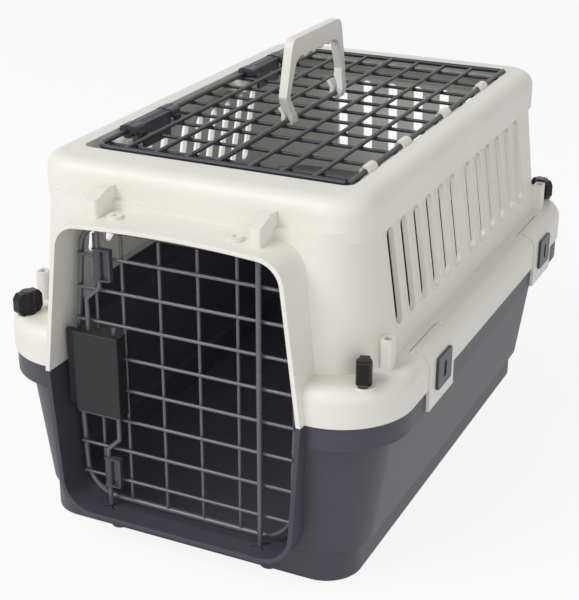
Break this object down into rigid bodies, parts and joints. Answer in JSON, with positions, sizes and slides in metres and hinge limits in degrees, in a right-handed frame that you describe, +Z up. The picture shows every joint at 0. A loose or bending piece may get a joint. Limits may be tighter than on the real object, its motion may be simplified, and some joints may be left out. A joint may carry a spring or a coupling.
{
  "type": "pet carrier",
  "caption": "Two-part plastic pet carrier with a wire front door, a wire roof hatch, a carrying handle, hinged side latches and wing nuts at the corners",
  "frame": {"origin": "middle of the footprint, on the plane the feet stand on", "axes": "+X across the carrier, to the right for someone who faces the door from outside; +Y from the door to the back wall; +Z up"},
  "size_m": [0.3266, 0.475, 0.3495],
  "materials": {
    "ivory_plastic": "satin moulded",
    "slate_plastic": "satin moulded",
    "coated_wire": "dark grey coating",
    "charcoal_plastic": "fine grained",
    "dark_plastic": "satin moulded",
    "black_plastic": "glossy",
    "steel": "zinc plated"
  },
  "bodies": {
    "carrier": {"base_shell": "slate_plastic", "upper_shell": "ivory_plastic", "corner_studs": "steel", "flap_hinge_pins": "steel"},
    "door": {"door_frame_rod": "coated_wire", "door_horizontal_wires": "coated_wire", "door_vertical_wires": "coated_wire", "door_hinge_rod": "coated_wire", "latch_housing": "charcoal_plastic", "latch_back_plate": "charcoal_plastic", "latch_screws": "steel", "upper_rod_sleeve": "charcoal_plastic", "lower_rod_sleeve": "charcoal_plastic"},
    "upper_rod": {"upper_latch_rod": "coated_wire"},
    "lower_rod": {"lower_latch_rod": "coated_wire"},
    "lid": {"lid_frame": "coated_wire", "lid_hinge_rod": "coated_wire", "lid_long_bars": "coated_wire", "lid_cross_wires": "coated_wire", "lid_handle_bar": "coated_wire"},
    "lid_latch_front": {"lid_latch_front": "dark_plastic"},
    "lid_latch_rear": {"lid_latch_rear": "dark_plastic"},
    "carry_handle": {"carry_handle": "ivory_plastic"},
    "side_flap_right_front": {"side_flap_right_front": "ivory_plastic"},
    "side_slider_right_front": {"side_slider_right_front": "dark_plastic"},
    "wing_nut_right_front": {"wing_nut_right_front": "black_plastic"},
    "side_flap_left_front": {"side_flap_left_front": "ivory_plastic"},
    "side_slider_left_front": {"side_slider_left_front": "dark_plastic"},
    "wing_nut_left_front": {"wing_nut_left_front": "black_plastic"},
    "side_flap_right_rear": {"side_flap_right_rear": "ivory_plastic"},
    "side_slider_right_rear": {"side_slider_right_rear": "dark_plastic"},
    "wing_nut_right_rear": {"wing_nut_right_rear": "black_plastic"},
    "side_flap_left_rear": {"side_flap_left_rear": "ivory_plastic"},
    "side_slider_left_rear": {"side_slider_left_rear": "dark_plastic"},
    "wing_nut_left_rear": {"wing_nut_left_rear": "black_plastic"}
  },
  "joints": [
    {"name": "door_hinge", "type": "hinge", "parent": "carrier", "child": "door", "pos_m": [0.0635, -0.2212, 0.1365], "axis": [0, 0, 1], "range_deg": [0, 110]},
    {"name": "upper_rod_slide", "type": "slide", "parent": "door", "child": "upper_rod", "axis": [0, 0, 1], "range_m": [-0.005, 0.0045], "stiffness_N_per_m": 400},
    {"name": "lower_rod_slide", "type": "slide", "parent": "door", "child": "lower_rod", "axis": [0, 0, -1], "range_m": [-0.005, 0.0045], "stiffness_N_per_m": 400},
    {"name": "lid_hinge", "type": "hinge", "parent": "carrier", "child": "lid", "pos_m": [0.1025, 0.007, 0.2869], "axis": [0, 1, 0], "range_deg": [0, 110]},
    {"name": "lid_latch_front_turn", "type": "hinge", "parent": "lid", "child": "lid_latch_front", "pos_m": [-0.097, -0.0885, 0.2869], "axis": [0, 1, 0], "range_deg": [0, 36]},
    {"name": "lid_latch_rear_turn", "type": "hinge", "parent": "lid", "child": "lid_latch_rear", "pos_m": [-0.097, 0.1055, 0.2869], "axis": [0, 1, 0], "range_deg": [0, 36]},
    {"name": "handle_tilt", "type": "hinge", "parent": "lid", "child": "carry_handle", "pos_m": [0, 0.0065, 0.2869], "axis": [0, 1, 0], "range_deg": [-60, 60]},
    {"name": "flap_right_front_hinge", "type": "hinge", "parent": "carrier", "child": "side_flap_right_front", "pos_m": [0.1475, -0.121, 0.1629], "axis": [0, -1, 0], "range_deg": [0, 95]},
    {"name": "slider_right_front_slide", "type": "slide", "parent": "side_flap_right_front", "child": "side_slider_right_front", "axis": [0, 0, -1], "range_m": [0, 0.005]},
    {"name": "wing_nut_right_front_turn", "type": "hinge", "parent": "carrier", "child": "wing_nut_right_front", "pos_m": [0.1355, -0.208, 0.1646], "axis": [0, 0, 1], "continuous": true},
    {"name": "flap_left_front_hinge", "type": "hinge", "parent": "carrier", "child": "side_flap_left_front", "pos_m": [-0.1475, -0.121, 0.1629], "axis": [0, 1, 0], "range_deg": [0, 95]},
    {"name": "slider_left_front_slide", "type": "slide", "parent": "side_flap_left_front", "child": "side_slider_left_front", "axis": [0, 0, -1], "range_m": [0, 0.005]},
    {"name": "wing_nut_left_front_turn", "type": "hinge", "parent": "carrier", "child": "wing_nut_left_front", "pos_m": [-0.1355, -0.208, 0.1646], "axis": [0, 0, 1], "continuous": true},
    {"name": "flap_right_rear_hinge", "type": "hinge", "parent": "carrier", "child": "side_flap_right_rear", "pos_m": [0.1475, 0.1355, 0.1629], "axis": [0, -1, 0], "range_deg": [0, 95]},
    {"name": "slider_right_rear_slide", "type": "slide", "parent": "side_flap_right_rear", "child": "side_slider_right_rear", "axis": [0, 0, -1], "range_m": [0, 0.005]},
    {"name": "wing_nut_right_rear_turn", "type": "hinge", "parent": "carrier", "child": "wing_nut_right_rear", "pos_m": [0.1355, 0.214, 0.1646], "axis": [0, 0, 1], "continuous": true},
    {"name": "flap_left_rear_hinge", "type": "hinge", "parent": "carrier", "child": "side_flap_left_rear", "pos_m": [-0.1475, 0.1355, 0.1629], "axis": [0, 1, 0], "range_deg": [0, 95]},
    {"name": "slider_left_rear_slide", "type": "slide", "parent": "side_flap_left_rear", "child": "side_slider_left_rear", "axis": [0, 0, -1], "range_m": [0, 0.005]},
    {"name": "wing_nut_left_rear_turn", "type": "hinge", "parent": "carrier", "child": "wing_nut_left_rear", "pos_m": [-0.1355, 0.214, 0.1646], "axis": [0, 0, 1], "continuous": true}
  ],
  "couplings": [
    {"joint": "lower_rod_slide", "follows": "upper_rod_slide", "ratio": 1}
  ]
}
